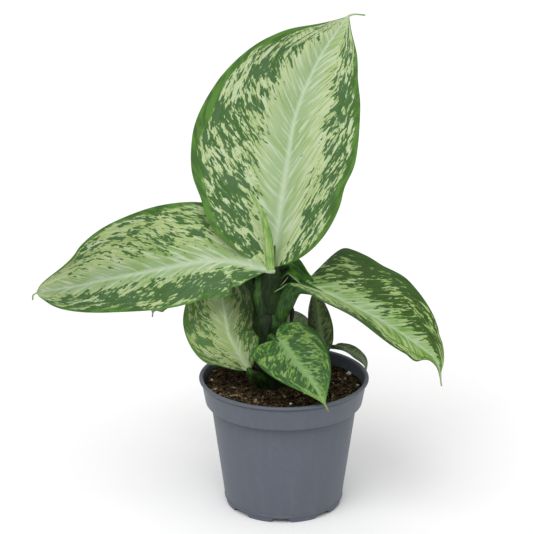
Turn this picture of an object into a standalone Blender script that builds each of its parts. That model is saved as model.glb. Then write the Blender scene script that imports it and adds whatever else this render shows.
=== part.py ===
"""A dieffenbachia in a moulded nursery pot: pot, soil, stems, leaf stalks, leaf blades and a furled leaf.

Frame: metres, +Z up, origin on the pot's axis at the surface that it stands on. The plant's best side
faces -Y, and +X is to its right. Points below are in millimetres and are scaled where meshes are made.
"""

import math
from dataclasses import dataclass

import bmesh
import bpy
from mathutils import Vector

MM = 0.001
GAP = 0.3  # clearance kept between pieces, mm
BLADE_GAP = 0.8  # from a stalk's end to its blade, mm

# ---- Driving dimensions, mm -------------------------------------------------------------------------
RIM_RADIUS = 60.4
POT_HEIGHT = 95.6
LIP_HEIGHT = 2.2  # the rounded lip that stands out from the band
BAND_HEIGHT = 18.8  # from the rim's top to the ledge under the stepped-out band
BAND_TOP_RADIUS = 58.5
BAND_FOOT_RADIUS = 56.0
WALL_TOP_RADIUS = 52.0
WALL_FOOT_RADIUS = 42.3
WALL = 1.2
FOOT_RADIUS = 41.4
FOOT_HEIGHT = 3.2
CENTRE_DISC_RADIUS = 23.0
DRAIN_HOLE_RADIUS = 3.5
DRAIN_CIRCLE_RADIUS = 31.5
DRAIN_COUNT = 8
NOTCH_WIDTH = 16.4  # at the surface that the pot stands on
NOTCH_TOP_WIDTH = 10.6
NOTCH_DEPTH = 9.0  # through the foot ring, towards the axis
NOTCH_HEIGHT = 2.9
NOTCH_TURN = -3.0  # degrees that the drain notches are turned from the front
POT_STEPS = 40
SOIL_LEVEL = 87.0
LEAF_THICKNESS = 0.8
LEAF_ROWS = 15
LEAF_COLUMNS = 6
LEAF_BASE_HALF = 2.2
LEAF_TIP_HALF = 0.5

# ---- Colours: base colour, roughness, metallic -------------------------------------------------------
SLATE_PLASTIC = ((0.125, 0.140, 0.165), 0.50, 0.0)
PEAT = ((0.030, 0.018, 0.012), 0.95, 0.0)
STEM_GREEN = ((0.030, 0.075, 0.022), 0.45, 0.0)
STALK_GREEN = ((0.060, 0.150, 0.045), 0.42, 0.0)
LEAF_GREEN = ((0.250, 0.400, 0.150), 0.40, 0.0)
NEW_LEAF_GREEN = ((0.330, 0.520, 0.190), 0.38, 0.0)
DRY_BROWN = ((0.070, 0.045, 0.025), 0.70, 0.0)


@dataclass(frozen=True)
class Leaf:
    """One blade: its midrib from base to tip, which way its upper face looks, and its outline."""

    name: str
    rib: tuple  # midrib points, mm
    face_base: tuple  # azimuth (0 is -Y, + is towards +X) and elevation of the upper face, degrees
    face_tip: tuple
    left: float  # half-widths, mm
    right: float
    rise: float  # how slowly the outline widens from the base
    taper: float  # how slowly it narrows to the tip
    fold: float = 10.0  # degrees that each half lifts from flat
    curl: float = 8.0  # degrees that the margins roll back
    lobe: float = 0.0  # how far the basal lobes reach back, as a share of the length
    rise_right: float = 0.0  # rise of the right half, where it differs


@dataclass(frozen=True)
class Tube:
    """A stem, stalk or spear: (x, y, z, radius) along its middle, mm, and the tubes that cut it."""

    name: str
    path: tuple
    cut_by: tuple = ()
    leaf: str = ""  # the blade that this stalk carries, whose base ends the path
    tip_radius: float = 2.2
    finish: tuple = STALK_GREEN


LEAVES = (
    Leaf("top_leaf", ((-8.6, -3, 178), (-3, 10, 212), (2, 28, 243), (9, 50, 275.5), (24, 72, 307),
                      (42, 92, 330), (48, 98, 336), (59, 102, 334.5)),
         (-18, 10), (5, 40), 69, 57, 0.69, 1.08, fold=22, curl=-8, lobe=0.02),
    Leaf("left_leaf", ((-16.5, -7, 174), (-24, -5, 179), (-35.5, -3, 182), (-57, -5, 183),
                       (-82, -10, 179.5), (-111, -20, 177), (-143, -33, 174), (-167, -47, 174),
                       (-170, -50, 170)),
         (33, 40), (-8, -30), 28, 44, 0.45, 0.47, fold=8, curl=10),
    Leaf("right_leaf", ((12.5, -9.2, 167), (26, -16, 164.5), (41.5, -26, 160), (67, -44, 152),
                        (90, -60, 141), (101.5, -69, 133), (105, -73, 117)),
         (72, 60), (45, -32), 61, 45, 0.24, 1.10, fold=20),
    Leaf("lower_left_leaf", ((-24.5, -25, 109.5), (-32, -22, 122), (-38, -16, 132), (-41, -8, 144),
                             (-43.5, 0, 155.5), (-47, 8, 168), (-50.5, 12, 176.5)),
         (20, -22), (-14, 75), 33, 29, 0.68, 0.54, fold=-28, curl=10),
    Leaf("front_leaf", ((-6, -24, 133), (-0.5, -31, 130.5), (8.5, -41, 122), (18, -51, 112),
                        (26.5, -60, 100), (30, -63, 94)),
         (0, 34), (14, 30), 23.5, 23, 1.00, 1.35, fold=10, curl=10, lobe=0.18, rise_right=0.62),
    Leaf("right_back_leaf", ((30, 9, 109), (27.5, 12, 115.5), (25, 15, 123.5), (23.5, 19, 134.5),
                             (22, 23, 146), (20.5, 26, 152.5)),
         (170, 10), (175, 0), 11, 9, 0.60, 0.80, fold=30, curl=0),
    Leaf("arching_leaf", ((37, 16, 111.5), (42.5, 18, 109.5), (49, 22, 105), (55.5, 26, 99.5),
                          (59.5, 30, 93), (60.5, 32, 84)),
         (10, 75), (60, 15), 6, 7, 0.50, 0.80, fold=15),
    Leaf("back_leaf", ((10, 23, 103), (7, 31, 113), (4, 41, 121), (0, 52, 124), (-5, 64, 121)),
         (-170, 40), (-175, 70), 16, 16, 0.60, 0.80, fold=12),
    Leaf("back_left_leaf", ((-24, 21, 161), (-36, 32, 169), (-54, 44, 168), (-73, 56, 156),
                            (-86, 67, 139), (-91, 76, 122), (-92, 80, 110.5)),
         (-20, 55), (-15, 15), 18, 18, 0.55, 0.45, fold=10),
)

MAIN_STEM_PATH = ((-8, 0, 56, 8.5), (-8.5, 0, 76, 10.5), (-8.6, 0.5, 100, 10.8), (-7.8, 0.8, 122, 9.8),
                  (-9.2, -1.5, 141, 10.4), (-9.4, -2, 152, 8.6), (-9, -2.4, 162, 5.8))
RIGHT_SHOOT_PATH = ((9, 14, 58, 4.2), (10, 14, 76, 4.8), (12, 14, 92, 4.8), (16, 13, 100, 4.0))

STEMS = (
    Tube("main_stem", MAIN_STEM_PATH, finish=STEM_GREEN),
    Tube("right_shoot_stem", RIGHT_SHOOT_PATH, cut_by=("main_stem",), finish=STEM_GREEN),
)

STALKS = (
    Tube("top_leaf_stalk", ((-9, -2.4, 157, 5.4), (-9.6, -3.5, 167, 4.6)),
         ("main_stem",), "top_leaf", 3.0),
    Tube("left_leaf_stalk", ((-11, -3, 147, 6.6), (-14.4, -6, 158, 5.6), (-15.4, -7, 166.5, 4.0)),
         ("main_stem", "top_leaf_stalk"), "left_leaf", 2.6),
    Tube("right_leaf_stalk", ((-5, -4, 142, 7.6), (-1.5, -5.5, 152, 7.4), (3.5, -6.8, 160.5, 6.4),
                              (8.5, -8.2, 165, 5.0)),
         ("main_stem", "top_leaf_stalk"), "right_leaf", 3.8),
    Tube("lower_left_leaf_stalk", ((-12, 4, 80, 5.0), (-15.2, -3, 90, 5.0), (-18.5, -11.5, 98, 4.3),
                                   (-21.8, -20, 102.5, 3.4)),
         ("main_stem",), "lower_left_leaf", 2.4),
    Tube("front_leaf_stalk", ((-7, -6, 114, 3.4), (-8.6, -14, 127, 3.0), (-8.8, -19.5, 132.6, 2.6)),
         ("main_stem",), "front_leaf", 2.2),
    Tube("right_back_leaf_stalk", ((17, 13, 94, 2.4), (26, 10, 101, 2.0)),
         ("right_shoot_stem",), "right_back_leaf", 1.6),
    Tube("arching_leaf_stalk", ((15, 16, 94, 2.2), (22, 18, 105, 2.0), (29, 17.5, 111, 1.8)),
         ("right_shoot_stem", "right_back_leaf_stalk"), "arching_leaf", 1.6),
    Tube("back_leaf_stalk", ((11.5, 14.2, 92, 2.2), (10.5, 19, 96, 2.2)),
         ("right_shoot_stem", "right_back_leaf_stalk"), "back_leaf", 1.8),
    Tube("back_left_leaf_stalk", ((-8, 0, 136, 3.6), (-15, 11, 148, 3.0)),
         ("main_stem", "left_leaf_stalk"), "back_left_leaf", 2.2),
)

NEW_LEAF = Tube("new_leaf", ((-9.5, -9, 168, 2.2), (-9.8, -10, 180, 3.1), (-11, -10, 199, 3.0),
                             (-15, -9, 217, 1.7), (-22.5, -7, 233, 0.5)),
                ("main_stem", "top_leaf_stalk", "left_leaf_stalk"), finish=NEW_LEAF_GREEN)
BUD_SCALE = Tube("dry_bud_scale", ((4.4, -5, 135, 0.9), (5.6, -5.6, 145, 2.2), (4.6, -7.5, 152, 1.2)),
                 ("main_stem", "right_leaf_stalk"), finish=DRY_BROWN)


# ---- Shared helpers --------------------------------------------------------------------------------
def clear_scene():
    """Removes every object, so that the script can run in any file."""
    for obj in list(bpy.data.objects):
        bpy.data.objects.remove(obj, do_unlink=True)


def new_collection(name, hidden=False):
    """Adds a collection to the scene."""
    collection = bpy.data.collections.new(name)
    collection.hide_render = hidden
    bpy.context.scene.collection.children.link(collection)
    return collection


def material(name, finish):
    """Makes a Principled material from a (colour, roughness, metallic) finish."""
    colour, roughness, metallic = finish
    made = bpy.data.materials.new(name)
    made.use_nodes = True
    shader = made.node_tree.nodes["Principled BSDF"]
    shader.inputs["Base Color"].default_value = (*colour, 1.0)
    shader.inputs["Roughness"].default_value = roughness
    shader.inputs["Metallic"].default_value = metallic
    made.diffuse_color = (*colour, 1.0)
    return made


def add_object(name, mesh, collection, finish=None):
    """Puts a mesh in the scene as a named object."""
    obj = bpy.data.objects.new(name, mesh)
    collection.objects.link(obj)
    if finish:
        mesh.materials.append(material(name + "_finish", finish))
    return obj


def cutter(name, mesh):
    """Puts a mesh in the scene as a tool for Boolean modifiers, which the model leaves out."""
    obj = add_object(name, mesh, CUTTERS)
    obj.hide_render = True
    obj.display_type = "WIRE"
    return obj


def cut(obj, tool):
    """Cuts a piece with a tool's shape."""
    boolean = obj.modifiers.new("cut_" + tool.name, "BOOLEAN")
    boolean.operation = "DIFFERENCE"
    boolean.solver = "EXACT"
    boolean.object = tool


def smooth_path(points, count):
    """Runs a Catmull-Rom curve through points of any width and spaces count samples evenly on it."""
    before = [2 * a - b for a, b in zip(points[0], points[1])]
    after = [2 * a - b for a, b in zip(points[-1], points[-2])]
    chain = [before, *points, after]
    fine = []
    steps = 24
    for a, b, c, d in zip(chain, chain[1:], chain[2:], chain[3:]):
        for step in range(steps):
            t = step / steps
            fine.append([0.5 * (2 * q + (r - p) * t + (2 * p - 5 * q + 4 * r - s) * t * t
                                + (3 * q - p - 3 * r + s) * t ** 3) for p, q, r, s in zip(a, b, c, d)])
    fine.append(list(points[-1]))
    lengths = [0.0]
    for a, b in zip(fine, fine[1:]):
        lengths.append(lengths[-1] + math.dist(a[:3], b[:3]))
    out = []
    k = 0
    for i in range(count):
        target = lengths[-1] * i / (count - 1)
        while k < len(fine) - 2 and lengths[k + 1] < target:
            k += 1
        t = (target - lengths[k]) / (lengths[k + 1] - lengths[k])
        out.append([a + (b - a) * t for a, b in zip(fine[k], fine[k + 1])])
    return out


def turned(name, profile, steps):
    """Turns a (radius, height) profile in mm about Z, and gives back the mesh."""
    mesh = bpy.data.meshes.new(name + "_profile")
    points = [(r * MM, 0.0, z * MM) for r, z in profile]
    mesh.from_pydata(points, [(i, i + 1) for i in range(len(points) - 1)], [])
    guide = bpy.data.objects.new(name + "_profile", mesh)
    bpy.context.scene.collection.objects.link(guide)
    screw = guide.modifiers.new("turn", "SCREW")
    screw.steps = steps
    screw.render_steps = steps
    screw.use_merge_vertices = True
    screw.merge_threshold = 0.00001
    made = bpy.data.meshes.new_from_object(guide.evaluated_get(bpy.context.evaluated_depsgraph_get()))
    made.name = name
    bpy.data.objects.remove(guide, do_unlink=True)
    return made


def smooth_shading(mesh, sharp_degrees=50):
    """Shades a round piece smooth, with its real edges kept."""
    mesh.shade_smooth()
    mesh.set_sharp_from_angle(angle=math.radians(sharp_degrees))


# ---- Pot and soil ----------------------------------------------------------------------------------
def wall_profile(inset):
    """The pot's side from under the lip to the foot corner, moved inwards by inset."""
    ledge = POT_HEIGHT - BAND_HEIGHT
    raised = inset  # inside, the ledge lies higher, so that the wall keeps its thickness there
    return [
        (BAND_TOP_RADIUS - inset, POT_HEIGHT - LIP_HEIGHT - 0.4),
        (BAND_FOOT_RADIUS - inset, ledge + 1.0 + raised),
        (BAND_FOOT_RADIUS - 0.5 - inset, ledge + 0.2 + raised),
        (BAND_FOOT_RADIUS - 1.2 - inset, ledge + raised),
        (WALL_TOP_RADIUS + 0.8 - inset, ledge - 0.4 + raised),
        (WALL_TOP_RADIUS - inset, ledge - 1.2 + raised),
        (WALL_FOOT_RADIUS + 0.3 - inset, FOOT_HEIGHT + 3.0),
    ]


def nursery_pot():
    """A thin moulded shell: rim lip, band, tapered wall, raised drain channel and low foot ring."""
    profile = [
        (0, WALL),
        (CENTRE_DISC_RADIUS - 0.4, WALL),
        (CENTRE_DISC_RADIUS + 2.4, FOOT_HEIGHT + WALL),
        (FOOT_RADIUS - 1.9, FOOT_HEIGHT + WALL),
        *reversed(wall_profile(WALL)),
        (BAND_TOP_RADIUS - WALL + 0.3, POT_HEIGHT - 0.5),
        (BAND_TOP_RADIUS - 0.2, POT_HEIGHT),
        (RIM_RADIUS - 0.9, POT_HEIGHT),
        (RIM_RADIUS - 0.1, POT_HEIGHT - 0.6),
        (RIM_RADIUS, POT_HEIGHT - 1.3),
        (RIM_RADIUS - 0.5, POT_HEIGHT - 2.0),
        (BAND_TOP_RADIUS + 0.3, POT_HEIGHT - LIP_HEIGHT),
        *wall_profile(0),
        (WALL_FOOT_RADIUS - 0.05, FOOT_HEIGHT + 1.4),
        (WALL_FOOT_RADIUS - 0.4, FOOT_HEIGHT + 0.7),
        (FOOT_RADIUS + 0.2, FOOT_HEIGHT + 0.3),
        (FOOT_RADIUS, 0),
        (FOOT_RADIUS - 2.0, 0),
        (FOOT_RADIUS - 2.6, FOOT_HEIGHT),
        (CENTRE_DISC_RADIUS + 3.0, FOOT_HEIGHT),
        (CENTRE_DISC_RADIUS, 0),
        (0, 0),
    ]
    mesh = turned("nursery_pot", profile, POT_STEPS)
    smooth_shading(mesh, 40)
    pot = add_object("nursery_pot", mesh, PLANT, SLATE_PLASTIC)
    for index in range(DRAIN_COUNT):
        angle = math.radians(NOTCH_TURN + 360 * index / DRAIN_COUNT)
        cut(pot, drain_hole(index, angle))
        cut(pot, drain_notch(index, angle))
    return pot


def drain_hole(index, angle):
    """A round cutter through the raised channel of the pot's floor."""
    mesh = bpy.data.meshes.new("drain_hole")
    cage = bmesh.new()
    bmesh.ops.create_cone(cage, cap_ends=True, segments=12, radius1=DRAIN_HOLE_RADIUS * MM,
                          radius2=DRAIN_HOLE_RADIUS * MM, depth=8 * MM)
    cage.to_mesh(mesh)
    cage.free()
    tool = cutter(f"drain_hole_{index + 1}", mesh)
    tool.location = (DRAIN_CIRCLE_RADIUS * MM * math.sin(angle), -DRAIN_CIRCLE_RADIUS * MM * math.cos(angle),
                     (FOOT_HEIGHT + WALL / 2) * MM)
    return tool


def drain_notch(index, angle):
    """A cutter with sloping ends that opens the foot ring to drain."""
    mesh = bpy.data.meshes.new("drain_notch")
    cage = bmesh.new()
    bmesh.ops.create_cube(cage, size=1)
    below = 2 * NOTCH_WIDTH - NOTCH_TOP_WIDTH  # the sloping ends go on below the pot
    for vert in cage.verts:
        width = below if vert.co.z < 0 else NOTCH_TOP_WIDTH
        vert.co = (vert.co.x * width * MM, vert.co.y * NOTCH_DEPTH * MM, vert.co.z * 2 * NOTCH_HEIGHT * MM)
    cage.to_mesh(mesh)
    cage.free()
    tool = cutter(f"drain_notch_{index + 1}", mesh)
    middle = FOOT_RADIUS * MM
    tool.location = (middle * math.sin(angle), -middle * math.cos(angle), 0)
    tool.rotation_euler.z = angle
    return tool


def soil_height(x, y):
    """The soil's uneven top, mm: slightly heaped round the stems."""
    heap = 1.6 * math.exp(-((x + 4) ** 2 + (y - 4) ** 2) / 500)
    ripple = 0.5 * math.sin(0.21 * x + 1.1) * math.cos(0.17 * y) + 0.35 * math.sin(0.43 * y + 0.37 * x)
    return heap + ripple


def potting_soil(tools):
    """The soil that fills the pot, with a socket round each stem that stands in it."""
    side = [(r, z) for r, z in wall_profile(WALL + GAP) if z < SOIL_LEVEL - 4]
    top_radius = BAND_FOOT_RADIUS - WALL - GAP + 1.5
    profile = [
        *[(top_radius * share, SOIL_LEVEL) for share in (0, 0.18, 0.36, 0.54, 0.72, 0.88)],
        (top_radius - 0.2, SOIL_LEVEL - 0.6),
        *side,
        (FOOT_RADIUS - 2.3, FOOT_HEIGHT + WALL + GAP),
        (CENTRE_DISC_RADIUS + 2.2, FOOT_HEIGHT + WALL + GAP),
        (CENTRE_DISC_RADIUS - 0.7, WALL + GAP),
        (0, WALL + GAP),
    ]
    mesh = turned("potting_soil", profile, POT_STEPS)
    for vert in mesh.vertices:
        if vert.co.z > (SOIL_LEVEL - 1) * MM:
            vert.co.z += soil_height(vert.co.x / MM, vert.co.y / MM) * MM
    smooth_shading(mesh)
    soil = add_object("potting_soil", mesh, PLANT, PEAT)
    for tool in tools:
        cut(soil, tool)
    return soil


# ---- Stems and stalks -------------------------------------------------------------------------------
def tube_mesh(name, path, grow=0.0):
    """Makes a closed mesh of a tapering round tube, from a curve with a bevel and filled caps."""
    samples = smooth_path(path, max(8, int(path_length(path) / 4)))
    if grow:
        first = Vector(samples[0][:3]) - Vector(samples[1][:3])
        last = Vector(samples[-1][:3]) - Vector(samples[-2][:3])
        samples[0][:3] = Vector(samples[0][:3]) + first.normalized() * grow
        samples[-1][:3] = Vector(samples[-1][:3]) + last.normalized() * grow
    curve = bpy.data.curves.new(name, "CURVE")
    curve.dimensions = "3D"
    curve.bevel_depth = MM
    curve.bevel_resolution = 3
    curve.use_fill_caps = True
    spline = curve.splines.new("POLY")
    spline.points.add(len(samples) - 1)
    for point, (x, y, z, radius) in zip(spline.points, samples):
        point.co = (x * MM, y * MM, z * MM, 1.0)
        point.radius = radius + grow
    guide = bpy.data.objects.new(name, curve)
    bpy.context.scene.collection.objects.link(guide)
    mesh = bpy.data.meshes.new_from_object(guide.evaluated_get(bpy.context.evaluated_depsgraph_get()))
    bpy.data.objects.remove(guide, do_unlink=True)
    cage = bmesh.new()
    cage.from_mesh(mesh)
    bmesh.ops.remove_doubles(cage, verts=cage.verts, dist=0.000001)
    cage.to_mesh(mesh)
    cage.free()
    mesh.name = name
    smooth_shading(mesh)
    return mesh


def path_length(path):
    """The length of a run of points, mm."""
    return sum(math.dist(a[:3], b[:3]) for a, b in zip(path, path[1:]))


def full_path(tube):
    """A tube's path, brought up to the base of the blade that it carries."""
    if not tube.leaf:
        return tube.path
    leaf = next(one for one in LEAVES if one.name == tube.leaf)
    base = Vector(leaf.rib[0])
    along = (Vector(smooth_path(leaf.rib, 40)[1]) - base).normalized()
    end = base - along * BLADE_GAP
    before = end - along * 2.0
    return (*tube.path, (*before, tube.tip_radius), (*end, tube.tip_radius))


def tube_piece(tube, tools):
    """Builds a stem or stalk and cuts it back from the tubes that it grows out of."""
    obj = add_object(tube.name, tube_mesh(tube.name, full_path(tube)), PLANT, tube.finish)
    for name in tube.cut_by:
        cut(obj, tools[name])
    return obj


# ---- Leaf blades -------------------------------------------------------------------------------------
def facing(azimuth, elevation):
    """A unit vector from an azimuth (0 is -Y, + is towards +X) and an elevation, in degrees."""
    a = math.radians(azimuth)
    e = math.radians(elevation)
    return Vector((math.cos(e) * math.sin(a), -math.cos(e) * math.cos(a), math.sin(e)))


def outline(leaf, u, w):
    """A half's width at u, from 0 at the base to 1 at the drip tip, as a share of its widest."""
    body_end = 0.94
    v = min(u / body_end, 1.0)
    rise = leaf.rise_right if w > 0 and leaf.rise_right else leaf.rise
    widest = rise / (rise + leaf.taper)
    body = (v / widest) ** rise * ((1 - v) / (1 - widest)) ** leaf.taper
    tip = 0.05 * min((1 - u) / 0.2, 1.0) ** 0.8
    return (body ** 3 + tip ** 3) ** (1 / 3)


def blade_point(leaf, samples, u, w):
    """The point at u along the blade and w across it, from -1 at its left margin to 1 at its right."""
    reach = 0.15
    back = leaf.lobe * (u / reach) * math.exp(1 - u / reach) * abs(w) ** 1.5
    place = (u - back) * (len(samples) - 1)
    k = max(0, min(int(place), len(samples) - 2))
    start = Vector(samples[k])
    step = Vector(samples[k + 1]) - start
    tangent = step.normalized()
    middle = start + step * (place - k)
    normal = facing(*leaf.face_base).lerp(facing(*leaf.face_tip), u)
    normal = (normal - tangent * normal.dot(tangent)).normalized()
    side = tangent.cross(normal)
    half = (leaf.right if w > 0 else leaf.left) * outline(leaf, u, w)
    half = max(half, LEAF_BASE_HALF * (1 - 20 * u), LEAF_TIP_HALF)
    lift = math.radians(leaf.fold - leaf.curl * abs(w) / 2)
    across = math.copysign(abs(w) * half * math.cos(lift), w)
    return middle + side * across + normal * (abs(w) * half * math.sin(lift))


def leaf_blade(leaf):
    """Builds one blade as a grid laid on the leaf's surface, thickened with Solidify."""
    samples = smooth_path(leaf.rib, 81)
    cage = bmesh.new()
    bmesh.ops.create_grid(cage, x_segments=LEAF_ROWS, y_segments=LEAF_COLUMNS, size=1.0)
    for vert in cage.verts:
        u = (vert.co.x + 1) / 2
        vert.co = blade_point(leaf, samples, u, vert.co.y) * MM
    mesh = bpy.data.meshes.new(leaf.name)
    cage.to_mesh(mesh)
    cage.free()
    mesh.shade_smooth()
    obj = add_object(leaf.name, mesh, PLANT, LEAF_GREEN)
    thick = obj.modifiers.new("thickness", "SOLIDIFY")
    thick.thickness = LEAF_THICKNESS * MM
    thick.offset = 0
    return obj


def build():
    """Builds the whole plant in its pot."""
    tubes = (*STEMS, *STALKS, NEW_LEAF, BUD_SCALE)
    needed = {name for tube in tubes for name in tube.cut_by} | {"main_stem", "lower_left_leaf_stalk"}
    tools = {tube.name: cutter(tube.name + "_room", tube_mesh(tube.name + "_room", full_path(tube), GAP))
             for tube in tubes if tube.name in needed}
    nursery_pot()
    potting_soil([tools["main_stem"], tools["right_shoot_stem"], tools["lower_left_leaf_stalk"]])
    for tube in tubes:
        tube_piece(tube, tools)
    for leaf in LEAVES:
        leaf_blade(leaf)


clear_scene()
PLANT = new_collection("potted_dieffenbachia")
CUTTERS = new_collection("cutters")
build()
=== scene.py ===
"""Looks of a young dieffenbachia in a moulded nursery pot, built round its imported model.

Every leaf, stalk, the stem, the soil and the pot is modelled here as a fine mesh with a procedural
finish, in the place that its plain solid holds. Units are metres; tables of points are in millimetres.
"""

import logging
import math
from dataclasses import dataclass
from enum import Enum

import bmesh
import bpy
import numpy as np
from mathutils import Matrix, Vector, noise


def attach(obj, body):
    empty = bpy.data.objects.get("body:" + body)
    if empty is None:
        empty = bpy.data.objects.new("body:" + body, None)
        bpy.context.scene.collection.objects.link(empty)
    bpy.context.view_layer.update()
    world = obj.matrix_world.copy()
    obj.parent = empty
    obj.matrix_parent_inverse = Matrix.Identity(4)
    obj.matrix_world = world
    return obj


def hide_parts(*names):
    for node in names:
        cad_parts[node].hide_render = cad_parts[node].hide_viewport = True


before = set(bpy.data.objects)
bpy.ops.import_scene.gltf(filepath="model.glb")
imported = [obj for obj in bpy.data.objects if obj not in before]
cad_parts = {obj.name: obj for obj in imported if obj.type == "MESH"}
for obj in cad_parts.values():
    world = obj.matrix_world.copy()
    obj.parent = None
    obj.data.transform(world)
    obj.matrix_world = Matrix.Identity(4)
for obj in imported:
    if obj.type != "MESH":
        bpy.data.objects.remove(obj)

LOG = logging.getLogger("dieffenbachia")
MM = 0.001
BODY = "root"
SPAN_STEPS = 24  # steps between two points of a path
RIB_SAMPLES = 241  # even samples along a midrib, which the blade's rows are read from
END_SHRINK = 0.82  # how far a stalk's first and last ring are narrowed, so that its ends look rounded
TURNED_OVER = [0, 3, 2, 1]  # order of a face's corners that makes it look the other way
LOBE_REACH = 0.15  # share of a blade from its base over which its lobes hang back
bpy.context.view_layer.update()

Point = tuple[float, float, float]
RingPoint = tuple[float, float, float, float]
Array = np.ndarray
Mesh = bpy.types.Mesh
Socket = bpy.types.NodeSocket
Value = Socket | float
Paint = Socket | str


class Slot(Enum):
    """The record's material slots."""

    POT = "pot_plastic"
    SOIL = "peat_soil"
    STEM = "stem_skin"
    STALK = "leaf_stalk"
    LEAF = "variegated_leaf"
    YOUNG = "young_leaf"
    SCALE = "dry_scale"


# ---- Shared tools ----
def linear(hex_colour: str) -> tuple[float, float, float, float]:
    """Turns an sRGB hex colour into linear light.

    Args:
        hex_colour: Six hex digits, such as "4F8640".

    Returns:
        Red, green, blue and alpha for a shader socket.
    """
    shares = [int(hex_colour[i:i + 2], 16) / 255 for i in (0, 2, 4)]
    light = [c / 12.92 if c <= 0.04045 else ((c + 0.055) / 1.055) ** 2.4 for c in shares]
    return (light[0], light[1], light[2], 1.0)


class Graph:
    """A material's node tree, with its Principled shader, filled by one adding method."""

    def __init__(self, name: str) -> None:
        """Starts an empty material.

        Args:
            name: The material's name.
        """
        self.material = bpy.data.materials.new(name)
        self.material.use_nodes = True
        self.tree = self.material.node_tree
        self.shader = self.tree.nodes["Principled BSDF"]

    def add(self, kind: str, inputs: dict | None = None, output: int = 0, **settings) -> Socket:
        """Adds a shader node with its settings and links.

        Args:
            kind: The node's type after "ShaderNode".
            inputs: Input name or index to a socket to link or a value to set.
            output: Index of the output to hand back.
            **settings: Properties of the node.

        Returns:
            The chosen output socket.
        """
        node = self.tree.nodes.new("ShaderNode" + kind)
        for name, value in settings.items():
            setattr(node, name, value)
        self.fill(node, inputs or {})
        return node.outputs[output]

    def fill(self, node: bpy.types.Node, inputs: dict) -> None:
        """Links or sets inputs of a node.

        Args:
            node: The node to fill.
            inputs: Input name or index to a socket or a value.
        """
        for key, value in inputs.items():
            if isinstance(value, Socket):
                self.tree.links.new(value, node.inputs[key])
            else:
                node.inputs[key].default_value = value

    def read(self, attribute: str) -> Socket:
        """The vector that a mesh keeps under a name."""
        return self.add("Attribute", output=1, attribute_name=attribute)

    def parts(self, vector: Socket) -> list[Socket]:
        """A vector's three numbers."""
        return self.add("SeparateXYZ", {0: vector}).node.outputs[:]

    def calc(self, operation: str, *values: Value) -> Socket:
        """Does one sum, such as MULTIPLY_ADD, on sockets and numbers."""
        return self.add("Math", dict(enumerate(values)), operation=operation)

    def ramp(self, value: Value, low: Value, high: Value, start: float = 0.0, end: float = 1.0) -> Socket:
        """Eases from start to end while a value goes from low to high."""
        inputs = dict(enumerate((value, low, high, start, end)))
        return self.add("MapRange", inputs, interpolation_type="SMOOTHSTEP")

    def choose(self, share: Value, first: Value, second: Value) -> Socket:
        """Goes from the first number to the second by a share."""
        return self.add("Mix", {0: share, 2: first, 3: second}, data_type="FLOAT")

    def blend(self, share: Value, first: Paint, second: Paint) -> Socket:
        """Goes from the first colour to the second, each a socket or hex digits, by a share."""
        first, second = (linear(c) if isinstance(c, str) else c for c in (first, second))
        return self.add("Mix", {0: share, 6: first, 7: second}, output=2, data_type="RGBA")

    def clouds(self, spot: Socket, scale: float, detail: float, rough: float = 0.5) -> Socket:
        """Noise at a place, with finer layers added."""
        return self.add("TexNoise", {"Vector": spot, "Scale": scale, "Detail": detail, "Roughness": rough})

    def relief(self, height: Socket, strength: float, depth_mm: float) -> Socket:
        """Bends the light as if the surface rose with a height."""
        return self.add("Bump", {"Height": height, "Strength": strength, "Distance": depth_mm * MM})

    def finish(self, inputs: dict) -> bpy.types.Material:
        """Fills the Principled shader, by input name, and hands back the material."""
        self.fill(self.shader, inputs)
        return self.material


def smooth_path(points: list, count: int) -> Array:
    """Runs a Catmull-Rom curve through points and spaces samples evenly along it.

    Args:
        points: Points of three or more numbers.
        count: How many samples to return.

    Returns:
        An array of count rows.
    """
    chain = np.array(points, float)
    chain = np.vstack([2 * chain[0] - chain[1], chain, 2 * chain[-1] - chain[-2]])
    t = np.linspace(0, 1, SPAN_STEPS, endpoint=False)[:, None]
    fine = []
    for p, q, r, s in zip(chain, chain[1:], chain[2:], chain[3:]):
        fine.append(0.5 * (2 * q + (r - p) * t + (2 * p - 5 * q + 4 * r - s) * t ** 2
                           + (3 * q - p - 3 * r + s) * t ** 3))
    fine = np.vstack([*fine, chain[-2]])
    run = np.concatenate([[0], np.cumsum(np.linalg.norm(np.diff(fine[:, :3], axis=0), axis=1))])
    at = np.linspace(0, run[-1], count)
    return np.stack([np.interp(at, run, fine[:, k]) for k in range(fine.shape[1])], axis=-1)


def rows_at(table: Array, at: Array) -> Array:
    """Reads the rows of an evenly spaced table at places from 0 to 1."""
    even = np.linspace(0, 1, len(table))
    return np.stack([np.interp(at, even, table[:, k]) for k in range(table.shape[1])], axis=-1)


def facing(azimuth: float, elevation: float) -> Array:
    """A unit vector from two angles.

    Args:
        azimuth: Degrees from -Y towards +X.
        elevation: Degrees above the horizon.

    Returns:
        The vector.
    """
    a = math.radians(azimuth)
    e = math.radians(elevation)
    return np.array([math.cos(e) * math.sin(a), -math.cos(e) * math.cos(a), math.sin(e)])


def unit(vectors: Array) -> Array:
    """Scales vectors along the last axis to length 1."""
    return vectors / np.maximum(np.linalg.norm(vectors, axis=-1, keepdims=True), 1e-9)


def ease(low: float, high: float, x: Array) -> Array:
    """A smooth step from 0 at low to 1 at high."""
    t = np.clip((x - low) / (high - low), 0, 1)
    return t * t * (3 - 2 * t)


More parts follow.
